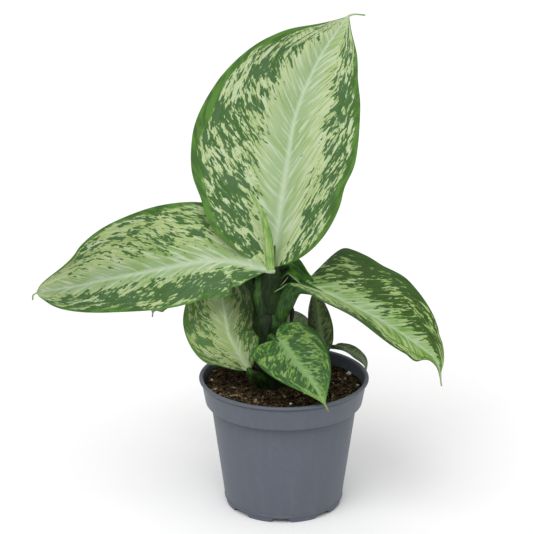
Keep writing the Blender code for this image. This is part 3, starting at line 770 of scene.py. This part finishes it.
@dataclass
class Foliage:
    """All the blades, the stalks that carry them, the stem with its sheaths, and the furled new leaf."""

    blades: tuple = (
        Blade("top_leaf", ((-8.6, -3, 178), (-3, 10, 212), (2, 28, 243), (9, 50, 275.5), (24, 72, 307),
            (42, 92, 330), (48, 98, 335.6), (59, 102, 334.6)), (-18, 10), (5, 40), left=69, right=57,
            rise=0.69, taper=1.08, fold=22, curl=-8, lobe=0.02, colours=CREAM, bumps=((1, 0.79, 0.08, 4.2),
            (1, 0.62, 0.10, 2.4), (1, 0.27, 0.04, -2.5), (-1, 0.83, 0.09, -4.8), (-1, 0.42, 0.09, 1.5),
            (-1, 0.20, 0.05, -2.5)), slants=(48, 30), rows=200, columns=73),
        Blade("left_leaf", ((-6.4, -12.6, 178), (-15, -11.5, 179), (-25, -7, 180), (-36, -4, 182),
            (-57, -5, 183), (-82, -10, 179.5), (-111, -20, 177), (-143, -33, 174), (-167, -47, 174),
            (-170, -50, 170)), (33, 40), (-8, -30), left=28, right=44, rise=0.45, taper=0.47, fold=8,
            curl=10, colours=STRIPED, bumps=((-1, 0, 0.08, -14), (1, 0, 0.06, -14), (-1, 0.20, 0.07, 2.5),
            (-1, 0.94, 0.05, -3)), base_half=0.9, body_end=0.965, slants=(24, 30), rows=180, columns=61),
        Blade("right_leaf", ((12.5, -9.2, 167), (26, -16, 164.5), (41.5, -26, 160), (67, -44, 152),
            (90, -60, 141), (101.5, -69, 133), (105, -73, 117)), (72, 60), (45, -32), left=61, right=45,
            rise=0.24, taper=1.10, fold=20, colours=GREENER, bumps=((-1, 0.03, 0.04, 4.5),
            (-1, 0.22, 0.10, -3), (1, 0.80, 0.05, 1.2)), slants=(44, 32), rows=170, columns=61),
        Blade("lower_left_leaf", ((-24.5, -25, 109.5), (-32, -22, 122), (-38, -16, 132), (-41, -8, 144),
            (-43.5, 0, 155.5), (-47, 8, 168), (-50.5, 12, 176.5)), (20, -22), (-14, 75), left=33, right=29,
            rise=0.68, taper=0.54, fold=-28, curl=10, colours=PALE, bumps=((1, 0.72, 0.12, 3.5),
            (1, 0.45, 0.15, 1.5)), slants=(38, 38), rows=120),
        Blade("front_leaf", ((-6, -24, 133), (-0.5, -31, 130.5), (8.5, -41, 122), (18, -51, 112),
            (26.5, -60, 100), (30, -63, 94)), (0, 34), (14, 30), left=23.5, right=23, rise=1.00, taper=1.35,
            fold=10, curl=10, lobe=0.18, rise_right=0.62, colours=JUVENILE, rows=120),
        Blade("right_back_leaf", ((30, 9, 109), (27.5, 12, 115.5), (25, 15, 123.5), (23.5, 19, 134.5),
            (22, 23, 146), (20.5, 26, 152.5)), (170, 10), (175, 0), left=11, right=9, rise=0.60, taper=0.80,
            fold=30, curl=0, colours=SHADED, wave=0.3, rows=80, columns=33),
        Blade("arching_leaf", ((37, 16, 111.5), (42.5, 18, 109.5), (49, 22, 105), (55.5, 26, 99.5),
            (59.5, 30, 93), (60.5, 32, 84)), (10, 75), (60, 15), left=6, right=7, rise=0.50, taper=0.80,
            fold=15, colours=DIM, wave=0.2, rows=80, columns=29),
        Blade("back_leaf", ((10, 23, 103), (7, 31, 113), (4, 41, 121), (0, 52, 124), (-5, 64, 121)),
            (-170, 40), (-175, 70), left=16, right=16, rise=0.60, taper=0.80, fold=12, colours=BACKLIT,
            wave=0.4, rows=80, columns=33),
        Blade("back_left_leaf", ((-24, 21, 161), (-36, 32, 169), (-54, 44, 168), (-73, 56, 156),
            (-89, 67, 139), (-96, 76, 122), (-98, 80, 110.5)), (-20, 55), (-15, 15), left=18, right=18,
            rise=0.55, taper=0.45, fold=10, colours=BACKLIT, wave=0.4, bumps=((-1, 0.93, 0.03, 2.2),
            (1, 0.93, 0.03, 2.2)), rows=100, columns=41),
    )

    def stalks(self) -> list[Stalk]:
        """The stem, the stalks and the furled leaf, from the ground up."""
        # Painted shade: the stem's rind is darkened nearly to black, standing for the deep shade under the
        # leaves.
        stem = StalkSkin("stem_rind_painted_shade", "24361A", "0F180B")
        stalk = StalkSkin("stalk_rind", "3A6224", "1A3014")
        young = StalkSkin("young_leaf_skin", "9DBB70", "6A9444", roughness=0.45)
        scale = StalkSkin("dry_scale_skin", "2A241A", "100D09", roughness=0.8)
        # Painted shade: the sheaths' rind is near black, standing for the deep shadow where the stalks meet
        # the stem.
        deep = StalkSkin("sheath_rind_painted_shade", "223A12", "111C08", roughness=0.6)
        return [
            Stalk("stem", ((-8, 0, 56, 8), (-8.5, 1, 76, 8.8), (-8.6, 1.5, 100, 10.2), (-10, 3, 122, 11.5),
                (-10.5, 0, 141, 11.2), (-9.4, -2, 152, 8.6), (-9, -2.4, 163, 5.8)), stem, "main_stem",
                Slot.STEM, ridges=0.05, sides=64),
            Stalk("side_shoot", ((9, 14, 58, 4.2), (10, 14, 76, 4.8), (12, 14, 92, 4.8), (16, 13, 100, 4)),
                stem, "right_shoot_stem", Slot.STEM),
            Stalk("top_stalk", ((-9, -2.4, 155, 6.2), (-9.6, -3.5, 167, 5.2), (-8.8, -2.6, 178, 3),
                (-6.5, 3, 190, 1.8), (-4, 9.5, 204, 0.8)), stalk, "top_leaf_stalk", groove=0.2),
            Stalk("left_stalk", ((-11, -2.5, 140, 7.5), (-14.4, -5.4, 156, 7), (-15.8, -6.4, 167, 5.2),
                (-18, -5.2, 173.5, 3), (-26, -3.4, 178, 1.8)), stalk, "left_leaf_stalk", groove=0.2),
            Stalk("right_stalk", ((-6, -3.5, 134, 7.4), (-4.6, -4.2, 144, 8.2), (-1, -5.6, 153, 8),
                (4, -7, 160.8, 6.8), (9.5, -8.4, 164.8, 5.4), (16, -11.2, 164.6, 4),
                (28, -17.3, 161.8, 1.8)), stalk, "right_leaf_stalk", groove=0.25, face=(0.3, -0.5, 0.8)),
            Stalk("lower_left_stalk", ((-12, 4, 80, 5), (-15.2, -3, 90, 5), (-18.5, -11.5, 98, 4.3),
                (-21.8, -20, 102.5, 3.4), (-24, -25.2, 108, 2.6), (-25, -25.4, 111.5, 1.4)), stalk,
                "lower_left_leaf_stalk", groove=0.15),
            Stalk("front_stalk", ((-7, -6, 114, 3.4), (-8.6, -14, 127, 3), (-8.8, -19, 132, 2.4),
                (-6.5, -23.5, 131.8, 1.8), (-1, -30, 129, 1.1)), stalk, "front_leaf_stalk"),
            Stalk("right_back_stalk", ((17, 13, 94, 2.4), (26, 10, 101, 2), (30, 8.4, 108, 1.6),
                (28, 11, 114, 0.9)), stalk, "right_back_leaf_stalk"),
            Stalk("arching_stalk", ((15, 16, 94, 2.2), (22, 18, 105, 2), (29, 17.5, 110.4, 1.8),
                (37, 16, 110.8, 1.5), (43, 18, 108.6, 0.8)), stalk, "arching_leaf_stalk"),
            Stalk("back_stalk", ((11.5, 14.2, 92, 2.2), (10.5, 19, 96, 2.2), (9.8, 23, 102, 1.8),
                (7, 30, 111.5, 0.9)), stalk, "back_leaf_stalk"),
            Stalk("back_left_stalk", ((-8, 0, 136, 3.6), (-15, 11, 148, 3), (-23, 20, 159.5, 2.2),
                (-32, 30, 166, 1.2)), stalk, "back_left_leaf_stalk"),
            Stalk("furled_leaf", ((-9.5, -9, 168, 2.2), (-9.8, -10, 180, 3.1), (-11, -10, 199, 3),
                (-15, -9, 217, 1.7), (-22.5, -7, 233, 0.4)), young, "new_leaf", Slot.YOUNG, groove=0.35,
                ridges=0.02),
            Stalk("left_sheath", ((-12, 3, 138, 7), (-15.5, 3, 150, 7), (-19, 2.5, 161, 6.2),
                (-24, 2, 169, 6.6), (-29, 2, 177, 5)), deep, "", Slot.STEM, ridges=0.06),
            Stalk("right_sheath", ((-7, 2, 150, 7.5), (-4, 3, 160, 8.5), (-1, 4, 167, 8.5), (2, 5, 173, 7),
                (5, 6, 181, 3.5)), deep, "", Slot.STEM, ridges=0.06),
            Stalk("front_sheath", ((-9, -4, 146, 8), (-9.5, -5.5, 157, 8.4), (-9.5, -6.5, 167, 8.4),
                (-9.5, -7, 174, 7), (-9.5, -7, 178, 4.5)), deep, "", Slot.STEM, ridges=0.06),
            Stalk("bud_scale", ((4.4, -5, 135, 0.9), (5.6, -5.6, 145, 2.2), (4.6, -7.5, 152, 0.9)), scale,
                "dry_bud_scale", Slot.SCALE, ridges=0.1, flat=0.7),
        ]

    def sheaths(self) -> list[SheathSheet | Stalk]:
        """The free edges of the leaf sheaths round the top of the stem."""
        wing = StalkSkin("wing_rind", "5C8A38", "25501A", streak_mm=2.0)
        # Painted highlight: the pale rind of the thin lines along the sheath's free edge and the stalk's
        # ridge.
        edge = StalkSkin("sheath_edge_painted_highlight", "7A9668", "4E6E3E", roughness=0.5)
        dry = StalkSkin("dry_sheath_skin", "9A9474", "66624A", roughness=0.8)
        front = ((-3, -8.5, 171), (2.3, -10, 175.5), (6, -11, 173), (9.4, -11.8, 170.2),
                 (12.2, -12.4, 167.2), (14.8, -12.9, 164.8), (18.5, -14.6, 163.6))
        back = ((-3, -1, 173), (1.7, -1, 179.6), (6, -1, 183), (10.1, -1.5, 182.9), (13.5, -2.5, 178.5),
                (16.2, -4, 174.2), (20, -8, 170.5))
        ridge = ((-10.5, -13.4, 158.4), (-6.6, -13.8, 163.3), (-2.1, -13.4, 166), (1.7, -12, 168.6))
        lines = []
        for name, run, radius in (("wing_edge", front[1:], 0.45), ("petiole_ridge", ridge, 0.35)):
            rings = [(*point, radius) for point in run]
            rings[0] = (*run[0], radius / 2)
            rings[-1] = (*run[-1], radius / 2)
            lines.append(Stalk(name, tuple(rings), edge, sides=16))
        sliver = Stalk("dry_sheath_tip", ((-2.6, -12.5, 167.2, 0.4), (-0.6, -12.6, 169.6, 0.7),
                                          (1.4, -12.2, 172, 0.5), (2.8, -12, 174.2, 0.2)),
                       dry, "", Slot.SCALE, flat=0.4, sides=16)
        return [SheathSheet("petiole_wing", back, front, (0, 4.0, -3.0), wing), *lines, sliver]

    def build(self) -> None:
        """Makes every blade, stalk and sheath."""
        for stalk in (*self.stalks(), *self.sheaths()):
            stalk.build()
        for blade in self.blades:
            blade.build()


# ---- Pot ----
@dataclass(frozen=True)
class PotPlastic:
    """Slate grey polypropylene, injection moulded: an even satin skin with faint flow marks and scuffs."""

    colour: str = "585D68"
    scuffed: str = "5E636D"
    roughness: float = 0.42
    scuff_mm: float = 3.0
    flow_mm: float = 6.0
    grain_mm: float = 0.6

    def material(self) -> bpy.types.Material:
        """Builds the plastic."""
        g = Graph("slate_polypropylene")
        spot = g.add("TexCoord", output=3)
        scuff = g.clouds(spot, 1 / (self.scuff_mm * MM), 6.0, 0.7)
        upright = g.add("Mapping", {"Vector": spot, "Scale": (1.0, 1.0, 0.08)})
        flow = g.clouds(upright, 1 / (self.flow_mm * MM), 2.0)
        mark = g.ramp(g.calc("MULTIPLY_ADD", flow, 0.6, scuff), 0.7, 1.1)
        colour = g.blend(mark, self.colour, self.scuffed)
        bump = g.relief(g.clouds(spot, 1 / (self.grain_mm * MM), 2.0), 0.12, 0.1)
        rough = g.add("MapRange", {0: scuff, 1: 0.3, 2: 0.7, 3: self.roughness - 0.04,
                                   4: self.roughness + 0.1})
        return g.finish({"Base Color": colour, "Roughness": rough, "Normal": bump, "IOR": 1.49,
                         "Specular IOR Level": 0.35})


def turned_mesh(name: str, profile: list, steps: int, sharp_degrees: float = 35) -> Mesh:
    """Turns a closed run of (radius, height) points from axis to axis about Z.

    Args:
        name: The mesh's name.
        profile: Points in mm, down the outer side; the first and last lie on the axis.
        steps: Steps round the turn.
        sharp_degrees: Edges that turn more than this stay sharp.

    Returns:
        The closed mesh.
    """
    inner = profile[1:-1]
    angle = np.linspace(0, 2 * math.pi, steps, endpoint=False)
    rings = [[(r * math.cos(a), r * math.sin(a), z) for a in angle] for r, z in inner]
    points = np.array([p for ring in rings for p in ring] + [(0, 0, profile[0][1]), (0, 0, profile[-1][1])])
    number = np.arange(len(inner) * steps).reshape(len(inner), steps)
    right = np.roll(number, -1, axis=1)
    quads = np.stack([number[:-1], number[1:], right[1:], right[:-1]], -1).reshape(-1, 4)
    first, last = len(points) - 2, len(points) - 1
    faces = [*quads]
    faces += [(first, a, b) for a, b in zip(number[0], right[0])]
    faces += [(last, b, a) for a, b in zip(number[-1], right[-1])]
    return solid_mesh(name, points, faces, None, sharp_degrees)


def run_from(radius: float, height: float, steps: tuple) -> list:
    """A run of profile points, given from a corner as (outwards, upwards), mm."""
    return [(radius + out, height + up) for out, up in steps]


@dataclass
class NurseryPot:
    """The moulded pot: rim lip, stepped band, tapered wall, drain channel and notched foot ring."""

    rim_radius: float = 60.4
    height: float = 95.6
    lip_height: float = 2.2
    band_height: float = 18.8
    band_top_radius: float = 58.5
    band_foot_radius: float = 56.0
    wall_top_radius: float = 52.0
    wall_foot_radius: float = 42.3
    wall: float = 1.2
    foot_radius: float = 41.4
    foot_height: float = 3.2
    disc_radius: float = 23.0
    hole_radius: float = 3.5
    hole_circle: float = 31.5
    drains: int = 8
    notch_width: float = 16.4
    notch_top_width: float = 10.6
    notch_depth: float = 9.0
    notch_height: float = 2.9
    notch_turn: float = -3.0
    steps: int = 160

    def side(self, inset: float) -> list:
        """The side's profile from under the lip to the foot corner.

        Args:
            inset: How far inside the outer face it lies, mm. The ledge is raised as much, and a
                fine groove lies under it outside.

        Returns:
            Points (radius, height).
        """
        raised = self.height - self.band_height + inset
        under = ((0.9, -0.4), (0.25, -0.7), (0, -1.3))
        if not inset:
            under = ((0.3, -0.2), (-0.35, -0.45), (-0.5, -1.1), (-0.2, -1.9))
        curve = ((0, 1.3), (-0.12, 0.75), (-0.45, 0.3), (-0.9, 0.05), (-1.4, -0.03))
        return [
            (self.band_top_radius - inset, self.height - self.lip_height - 1.5),
            *run_from(self.band_foot_radius - inset, raised, curve),
            *run_from(self.wall_top_radius - inset, raised, under),
            (self.wall_foot_radius + 0.3 - inset, self.foot_height + 3.0),
        ]

    def profile(self) -> list:
        """The whole closed profile, from the axis inside to the axis underneath."""
        rim, top, foot, band = self.rim_radius, self.height, self.foot_height, self.band_top_radius
        disc, ring = self.disc_radius, self.foot_radius
        lip = ((-0.9, 0), (-0.45, -0.15), (-0.12, -0.5), (0, -1), (-0.08, -1.45), (-0.45, -1.85),
               (-1, -2.05))
        bead = ((0.2, 2.3), (0.55, 1.95), (0.5, 1.6), (-0.05, 1.3), (-0.35, 0.8))
        return [
            (0, self.wall),
            (disc - 0.4, self.wall),
            *run_from(0, foot + self.wall, ((disc + 2.4, 0), (ring - 1.9, 0))),
            *reversed(self.side(self.wall)),
            *run_from(band - self.wall, top, ((0.1, -0.9), (0.45, -0.35), (1.0, -0.05))),
            (band + 0.5, top),
            *run_from(rim, top, lip),
            *run_from(band, top - self.lip_height, ((0.1, 0.05), (-0.35, -0.25), (-0.35, -0.8))),
            *self.side(0),
            *run_from(self.wall_foot_radius, foot, bead),
            *run_from(ring, foot, ((0.25, 0.5), (0.1, 0.1))),
            *run_from(ring, 0, ((0, 0.5), (-0.2, 0), (-2.0, 0), (-2.6, foot))),
            *run_from(disc, 0, ((3.0, foot), (0, 0))),
            (0, 0),
        ]

    def drain_tools(self) -> list[bpy.types.Object]:
        """Cutters for the drain holes and for the notches with sloping ends in the foot ring."""
        tools = []
        for index in range(self.drains):
            angle = math.radians(self.notch_turn + 360 * index / self.drains)
            hole = bmesh.new()
            bmesh.ops.create_cone(hole, cap_ends=True, segments=32, radius1=self.hole_radius * MM,
                                  radius2=self.hole_radius * MM, depth=8 * MM)
            notch = bmesh.new()
            bmesh.ops.create_cube(notch, size=1)
            below = 2 * self.notch_width - self.notch_top_width
            for vert in notch.verts:
                width = below if vert.co.z < 0 else self.notch_top_width
                vert.co = Vector((vert.co.x * width, vert.co.y * self.notch_depth,
                                  vert.co.z * 2 * self.notch_height)) * MM
            cages = ((hole, self.hole_circle, self.foot_height), (notch, self.foot_radius, 0))
            for cage, radius, height in cages:
                mesh = bpy.data.meshes.new("drain_tool")
                cage.to_mesh(mesh)
                cage.free()
                tool = add_object("drain_tool", mesh)
                tool.location = Vector((radius * math.sin(angle), -radius * math.cos(angle), height)) * MM
                tool.rotation_euler.z = angle
                tools.append(tool)
        return tools

    def build(self) -> bpy.types.Object:
        """Turns the pot and cuts its drains."""
        pot = add_object("pot_blank", turned_mesh("pot_blank", self.profile(), self.steps))
        tools = self.drain_tools()
        for tool in tools:
            cut = pot.modifiers.new("drain", "BOOLEAN")
            cut.operation = "DIFFERENCE"
            cut.solver = "EXACT"
            cut.object = tool
        mesh = bpy.data.meshes.new_from_object(pot.evaluated_get(bpy.context.evaluated_depsgraph_get()))
        for spare in (pot, *tools):
            bpy.data.objects.remove(spare, do_unlink=True)
        mesh.shade_smooth()
        mesh.set_sharp_from_angle(angle=math.radians(35))
        return place("pot", mesh, [PotPlastic().material()], ("nursery_pot",))


# ---- Soil ----
@dataclass(frozen=True)
class Peat:
    """Milled peat compost: dark, damp and matt, with browner crumbs where it has dried."""

    name: str
    wet: str = "19120B"
    dry: str = "68563E"
    spread: float = 0.0  # pushes the mix towards the dry colour
    clump_mm: float = 4.0
    crumb_mm: float = 1.2

    def material(self) -> bpy.types.Material:
        """Builds the compost."""
        g = Graph(self.name)
        spot = g.add("TexCoord", output=3)
        clump = g.clouds(spot, 1 / (self.clump_mm * MM), 5.0, 0.7)
        crumb = g.clouds(spot, 1 / (self.crumb_mm * MM), 3.0, 0.7)
        mix = g.ramp(g.calc("ADD", clump, crumb), 0.90 - self.spread, 1.30 - self.spread)
        colour = g.blend(mix, self.wet, self.dry)
        bump = g.relief(crumb, 0.8, 0.8)
        return g.finish({"Base Color": colour, "Roughness": 0.93, "Normal": bump, "IOR": 1.35,
                         "Specular IOR Level": 0.15})


class Grain(Enum):
    """What is strewn on the soil: name, count, least and most size in mm, and stretch."""

    CRUMB = ("soil_crumbs", 1100, 0.9, 4.2, 1.5)
    BARK = ("bark_chips", 150, 1.2, 3.6, 2.6)
    FIBRE = ("peat_fibres", 130, 0.5, 1.0, 8.0)
    PERLITE = ("perlite_grains", 30, 0.8, 1.8, 1.3)


@dataclass
class Soil:
    """The compost in the pot: an uneven top with crumbs, bark, fibres and white perlite grains."""

    level: float = 87.0
    radius: float = 56.1
    seed: int = 7
    heap: float = 1.2  # how far the soil rises round the stem
    bank: float = 4.6  # how far it rises at the wall on the -X side
    sink: float = 0.4  # how far the whole top is lowered to make room for its lumps
    lumps: tuple = ((1.6, 19.0, 1.7), (1.6, 6.5, 4.1), (0.8, 2.1, 9.3))  # height, width and layer of noise
    laid: tuple = (  # grains that lie at their own places: kind, x, y, size, mm
        (Grain.PERLITE, 47.0, 23.0, 4.2),
        (Grain.PERLITE, 4.6, -37.0, 3.0),
        (Grain.PERLITE, 53.0, 3.0, 2.2),
        (Grain.BARK, -33.0, -24.0, 3.4),
        (Grain.BARK, -30.0, -26.0, 3.0),
        (Grain.BARK, -27.0, -28.0, 2.6),
        (Grain.BARK, -36.0, -25.0, 2.4),
        (Grain.FIBRE, -31.0, -22.0, 1.4),
        (Grain.FIBRE, -29.0, -24.0, 1.2),
    )

    def height(self, x: float, y: float) -> float:
        """The height of the soil's top at a place.

        Args:
            x: Place across, mm.
            y: Place in depth, mm.

        Returns:
            The height above the floor, mm.
        """
        heap = self.heap * math.exp(-((x + 4) ** 2 + (y - 4) ** 2) / 500)
        bank = self.bank * min(1.0, math.hypot(x, y) / self.radius) ** 3 * (0.5 - x / (2 * self.radius))
        top = self.level + heap + bank - self.sink
        for high, wide, layer in self.lumps:
            top += high * noise.noise(Vector((x / wide, y / wide, layer)))
        return top

    def bed(self) -> Mesh:
        """The compost itself, a closed plug with a rough top."""
        rings = 64
        tops = [(self.radius * (i + 0.4) / rings, self.level) for i in range(rings)]
        profile = [
            (0, self.level),
            *tops,
            (self.radius - 0.1, self.level - 2.5),
            (54.3, 80.0),
            (50.4, 76.0),
            (47.2, 52.0),
            (0, 52.0),
        ]
        mesh = turned_mesh("soil_bed", profile, 220, 180)
        for vert in mesh.vertices:
            if vert.co.z > (self.level - 1) * MM:
                vert.co.z = self.height(vert.co.x / MM, vert.co.y / MM) * MM
        return mesh

    def strew(self, kind: Grain, rng: np.random.Generator) -> Mesh:
        """Scatters one kind of grain over the top, as one mesh of closed lumps.

        Args:
            kind: What to strew.
            rng: The seeded source of chance.

        Returns:
            The mesh.
        """
        name, count, least, most, stretch = kind.value
        lump = bmesh.new()
        bmesh.ops.create_icosphere(lump, subdivisions=1, radius=1.0)
        ball = np.array([v.co[:] for v in lump.verts])
        lump.verts.index_update()
        tris = np.array([[v.index for v in f.verts] for f in lump.faces])
        lump.free()
        points = []
        faces = []
        mine = [spot[1:] for spot in self.laid if spot[0] is kind]
        for index in range(count + len(mine)):
            reach = (self.radius - 2.6) * math.sqrt(rng.random())
            turn = 2 * math.pi * rng.random()
            x, y = reach * math.cos(turn), reach * math.sin(turn)
            size = least + (most - least) * rng.random() ** 2.6
            if index >= count:
                x, y, size = mine[index - count]
            shape = ball * (1 + 0.28 * rng.standard_normal((len(ball), 1)).clip(-1.4, 1.4))
            shape = shape * np.array([stretch ** 0.6, stretch ** -0.35, 0.75 * stretch ** -0.3]) * size / 2
            spin = rng.random() * 2 * math.pi
            tilt = rng.normal(0, 0.25)
            c, s = math.cos(spin), math.sin(spin)
            shape[:, 2] = shape[:, 2] + shape[:, 0] * math.sin(tilt)
            flat = np.stack([shape[:, 0] * c - shape[:, 1] * s, shape[:, 0] * s + shape[:, 1] * c,
                             shape[:, 2]], -1)
            floor = self.height(x, y) + 0.18 * size
            faces.extend((tris + index * len(ball)).tolist())
            points.append(flat + np.array([x, y, floor]))
        return solid_mesh(name, np.vstack(points), faces, None, 60)

    def build(self) -> None:
        """Makes the bed and strews its grains."""
        rng = np.random.default_rng(self.seed)
        place("soil_bed", self.bed(), [Peat("damp_peat").material()], ("potting_soil",))
        finishes = {
            Grain.CRUMB: Peat("peat_crumb", spread=0.08),
            Grain.BARK: Peat("bark", "45382A", "A38E6C", 0.12),
            Grain.FIBRE: Peat("peat_fibre", "564432", "B09A78", 0.1),
            Grain.PERLITE: Peat("perlite", "B9B2A2", "E9E5DA", 0.25),
        }
        for kind, finish in finishes.items():
            place(kind.value[0], self.strew(kind, rng), [finish.material()])


# ---- Stage ----
@dataclass
class Studio:
    """A pale floor, soft white light and the camera."""

    camera_place: Point = (-0.0124, -1.2328, 0.5893)
    look_down: float = 18.5
    lens: float = 125.66
    sensor: float = 36.0
    floor_half: float = 6.0
    lamp_distance: float = 2.0
    sky_strength: float = 0.62
    lamps: tuple = (  # name, azimuth, elevation, spread and power
        ("key", -25, 55, 40, 1.25),
        ("fill", 40, 60, 60, 0.55),
    )

    def build(self) -> None:
        """Sets the camera, the floor, the lights and the sky."""
        scene = bpy.context.scene
        camera = bpy.data.cameras.new("camera")
        camera.lens = self.lens
        camera.sensor_width = self.sensor
        eye = add_object("camera", camera)
        eye.location = self.camera_place
        eye.rotation_euler = (math.radians(90 - self.look_down), 0, 0)
        scene.camera = eye
        floor_mesh = bpy.data.meshes.new("floor")
        cage = bmesh.new()
        bmesh.ops.create_grid(cage, x_segments=1, y_segments=1, size=self.floor_half)
        cage.to_mesh(floor_mesh)
        cage.free()
        g = Graph("white_paper")
        floor_mesh.materials.append(g.finish({"Base Color": linear("FEFEFE"), "Roughness": 0.9}))
        floor = add_object("floor", floor_mesh)
        for name, azimuth, elevation, spread, strength in self.lamps:
            light = bpy.data.lights.new(name, "SUN")
            light.angle = math.radians(spread)
            light.energy = strength
            lamp = add_object(name, light)
            towards = Vector(facing(azimuth, elevation))
            lamp.location = towards * self.lamp_distance
            lamp.rotation_euler = (-towards).to_track_quat("-Z", "Y").to_euler()
        sky = bpy.data.worlds.new("studio")
        sky.use_nodes = True
        back = sky.node_tree.nodes["Background"]
        back.inputs["Color"].default_value = linear("FFFFFF")
        back.inputs["Strength"].default_value = self.sky_strength
        scene.world = sky
        scene.view_settings.view_transform = "Standard"


def main() -> None:
    """Builds the stage, the pot, the soil and the plant."""
    logging.basicConfig(level=logging.INFO, format="%(name)s: %(message)s")
    Studio().build()
    NurseryPot().build()
    Soil().build()
    Foliage().build()


if __name__ == "__main__":
    main()
